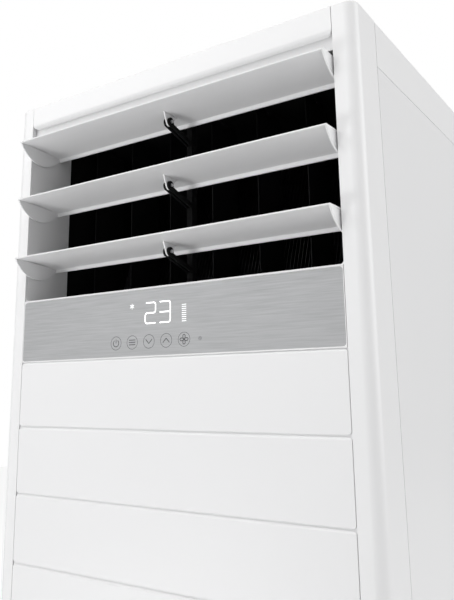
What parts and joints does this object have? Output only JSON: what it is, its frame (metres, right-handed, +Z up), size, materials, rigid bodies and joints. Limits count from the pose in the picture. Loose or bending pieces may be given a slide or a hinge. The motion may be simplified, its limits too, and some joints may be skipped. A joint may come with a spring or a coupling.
{
  "type": "floor standing air conditioner",
  "caption": "Tall cabinet indoor unit with swinging louvers at the top, a touch display strip, a planked front and a hinged intake grille over a belly mounted fan.",
  "frame": {"origin": "on the floor, under the middle of the whole outline with the louvers open", "axes": "+Z up, -Y out of the front, +X to the right seen from the front"},
  "size_m": [0.59, 0.468, 1.84],
  "materials": {
    "white_sheet": "satin powder coat",
    "white_plastic": "satin moulded",
    "louver_plastic": "satin moulded",
    "brushed_plate": "brushed along its length",
    "black_plastic": "matte moulded",
    "link_plastic": "matte moulded",
    "net_plastic": "woven net in a moulded frame",
    "zinc_steel": "zinc coated sheet",
    "wheel_plastic": "moulded",
    "motor_paint": "satin black paint",
    "fin_aluminium": "bare rolled foil",
    "copper": "drawn copper tube",
    "union_brass": "machined",
    "pan_plastic": "moulded",
    "circuit_board": "coated board",
    "black_rubber": "moulded"
  },
  "bodies": {
    "cabinet": {"air_duct": "black_plastic", "base_pan": "white_sheet", "blower_housing": "zinc_steel", "cabinet_screws": "zinc_steel", "cable_gland": "black_rubber", "centre_pins": "zinc_steel", "centre_support": "white_plastic", "coil_end_plates": "zinc_steel", "control_box": "black_plastic", "control_box_cover": "zinc_steel", "display_board": "circuit_board", "display_carrier": "white_plastic", "display_plate": "brushed_plate", "drain_pan": "pan_plastic", "drain_pipe": "pan_plastic", "evaporator_bends": "copper", "evaporator_fins": "fin_aluminium", "fan_deck": "zinc_steel", "fan_motor": "motor_paint", "filter_frame": "black_plastic", "flare_unions": "union_brass", "front_panel": "white_sheet", "gas_pipe": "copper", "header_panel": "white_plastic", "inlet_ring": "black_plastic", "levelling_feet": "black_rubber", "liquid_pipe": "copper", "louver_bushes": "link_plastic", "louver_motor": "motor_paint", "main_board": "circuit_board", "motor_bracket": "zinc_steel", "outlet_frame": "white_plastic", "pillar_left": "white_plastic", "pillar_right": "white_plastic", "pipe_grommet": "black_rubber", "plinth_cover": "white_sheet", "rear_panel": "white_sheet", "run_capacitor": "fin_aluminium", "side_panel_left": "white_sheet", "side_panel_right": "white_sheet", "terminal_block": "circuit_board", "top_cap": "white_plastic", "vane_motor": "motor_paint"},
    "louver_top": {"louver_top": "louver_plastic"},
    "louver_middle": {"louver_middle": "louver_plastic"},
    "louver_bottom": {"louver_bottom": "louver_plastic"},
    "louver_link": {"louver_link": "link_plastic"},
    "vane_link": {"vane_link": "black_plastic"},
    "fan_wheel": {"blower_wheel": "wheel_plastic", "fan_shaft": "zinc_steel"},
    "intake_grille": {"intake_grille": "white_plastic"},
    "air_filter_left": {"air_filter_left": "net_plastic"},
    "air_filter_right": {"air_filter_right": "net_plastic"},
    "vane_1": {"vane_1": "black_plastic"},
    "vane_2": {"vane_2": "black_plastic"},
    "vane_3": {"vane_3": "black_plastic"},
    "vane_4": {"vane_4": "black_plastic"},
    "vane_5": {"vane_5": "black_plastic"},
    "vane_6": {"vane_6": "black_plastic"},
    "vane_7": {"vane_7": "black_plastic"}
  },
  "joints": [
    {"name": "louver_middle_tilt", "type": "hinge", "parent": "cabinet", "child": "louver_middle", "pos_m": [0, -0.1835, 1.6594], "axis": [1, 0, 0], "range_deg": [-15, 82]},
    {"name": "louver_top_tilt", "type": "hinge", "parent": "cabinet", "child": "louver_top", "pos_m": [0, -0.1835, 1.7568], "axis": [1, 0, 0], "range_deg": [-15, 82]},
    {"name": "louver_bottom_tilt", "type": "hinge", "parent": "cabinet", "child": "louver_bottom", "pos_m": [0, -0.1835, 1.562], "axis": [1, 0, 0], "range_deg": [-15, 82]},
    {"name": "louver_link_turn", "type": "hinge", "parent": "louver_middle", "child": "louver_link", "pos_m": [-0.2728, -0.1655, 1.6594], "axis": [1, 0, 0], "range_deg": [-82, 15]},
    {"name": "vane_link_turn", "type": "hinge", "parent": "vane_4", "child": "vane_link", "pos_m": [0, 0, 1.7665], "axis": [0, 0, 1], "range_deg": [-35, 35]},
    {"name": "fan_spin", "type": "hinge", "parent": "cabinet", "child": "fan_wheel", "pos_m": [0, -0.006, 0.54], "axis": [0, 1, 0], "continuous": true},
    {"name": "grille_tilt", "type": "hinge", "parent": "cabinet", "child": "intake_grille", "pos_m": [0, -0.198, 0.1646], "axis": [1, 0, 0], "range_deg": [0, 33]},
    {"name": "filter_left_lift", "type": "slide", "parent": "cabinet", "child": "air_filter_left", "axis": [0, 0, 1], "range_m": [0, 0.02]},
    {"name": "filter_right_lift", "type": "slide", "parent": "cabinet", "child": "air_filter_right", "axis": [0, 0, 1], "range_m": [0, 0.02]},
    {"name": "vane_1_turn", "type": "hinge", "parent": "cabinet", "child": "vane_1", "pos_m": [-0.243, -0.026, 1.655], "axis": [0, 0, 1], "range_deg": [-35, 35]},
    {"name": "vane_2_turn", "type": "hinge", "parent": "cabinet", "child": "vane_2", "pos_m": [-0.162, -0.026, 1.655], "axis": [0, 0, 1], "range_deg": [-35, 35]},
    {"name": "vane_3_turn", "type": "hinge", "parent": "cabinet", "child": "vane_3", "pos_m": [-0.081, -0.026, 1.655], "axis": [0, 0, 1], "range_deg": [-35, 35]},
    {"name": "vane_4_turn", "type": "hinge", "parent": "cabinet", "child": "vane_4", "pos_m": [0, -0.026, 1.655], "axis": [0, 0, 1], "range_deg": [-35, 35]},
    {"name": "vane_5_turn", "type": "hinge", "parent": "cabinet", "child": "vane_5", "pos_m": [0.081, -0.026, 1.655], "axis": [0, 0, 1], "range_deg": [-35, 35]},
    {"name": "vane_6_turn", "type": "hinge", "parent": "cabinet", "child": "vane_6", "pos_m": [0.162, -0.026, 1.655], "axis": [0, 0, 1], "range_deg": [-35, 35]},
    {"name": "vane_7_turn", "type": "hinge", "parent": "cabinet", "child": "vane_7", "pos_m": [0.243, -0.026, 1.655], "axis": [0, 0, 1], "range_deg": [-35, 35]}
  ],
  "couplings": [
    {"joint": "louver_top_tilt", "follows": "louver_middle_tilt", "ratio": 1},
    {"joint": "louver_bottom_tilt", "follows": "louver_middle_tilt", "ratio": 1},
    {"joint": "louver_link_turn", "follows": "louver_middle_tilt", "ratio": -1},
    {"joint": "vane_link_turn", "follows": "vane_4_turn", "ratio": -1},
    {"joint": "vane_1_turn", "follows": "vane_4_turn", "ratio": 1},
    {"joint": "vane_2_turn", "follows": "vane_4_turn", "ratio": 1},
    {"joint": "vane_3_turn", "follows": "vane_4_turn", "ratio": 1},
    {"joint": "vane_5_turn", "follows": "vane_4_turn", "ratio": 1},
    {"joint": "vane_6_turn", "follows": "vane_4_turn", "ratio": 1},
    {"joint": "vane_7_turn", "follows": "vane_4_turn", "ratio": 1}
  ]
}
